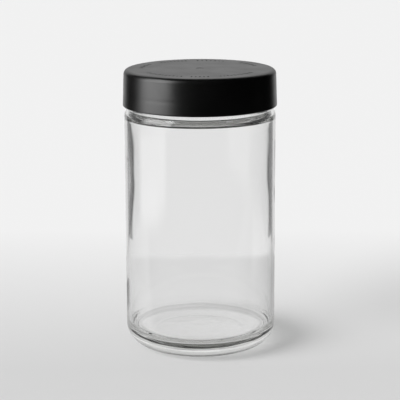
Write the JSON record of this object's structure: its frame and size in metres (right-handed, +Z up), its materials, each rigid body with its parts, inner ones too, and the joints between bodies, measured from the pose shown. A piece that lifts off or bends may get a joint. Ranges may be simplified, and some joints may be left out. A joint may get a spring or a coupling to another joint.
{
  "type": "specimen jar",
  "caption": "Straight-sided clear glass specimen jar with a rounded heel, a short screw finish and a low smooth black screw cap that seals on a foam liner.",
  "frame": {"origin": "centre of the jar's base, on the plane it stands on", "axes": "+Z up along the jar's axis, out through the cap; the start of the jar's thread lies about 150 degrees round from +X"},
  "size_m": [0.061, 0.061, 0.1122],
  "materials": {
    "clear_glass": "polished clear flint glass, faintly grey-green in thick sections",
    "black_polypropylene": "satin moulded polypropylene",
    "white_foam": "closed-cell polyethylene foam",
    "facing_film": "smooth fluoropolymer film"
  },
  "bodies": {
    "jar": {"glass_jar": "clear_glass"},
    "liner": {"liner_foam": "white_foam", "liner_facing": "facing_film"},
    "cap": {"screw_cap": "black_polypropylene"}
  },
  "joints": [
    {"name": "cap_lift", "type": "slide", "parent": "jar", "child": "liner", "axis": [0, 0, 1], "range_m": [0, 0.0127]},
    {"name": "cap_turn", "type": "hinge", "parent": "liner", "child": "cap", "pos_m": [0, 0, 0.1], "axis": [0, 0, 1], "range_deg": [0, 1080]}
  ],
  "couplings": [
    {"joint": "cap_lift", "follows": "cap_turn", "m_per_rad": 0.00067376}
  ]
}
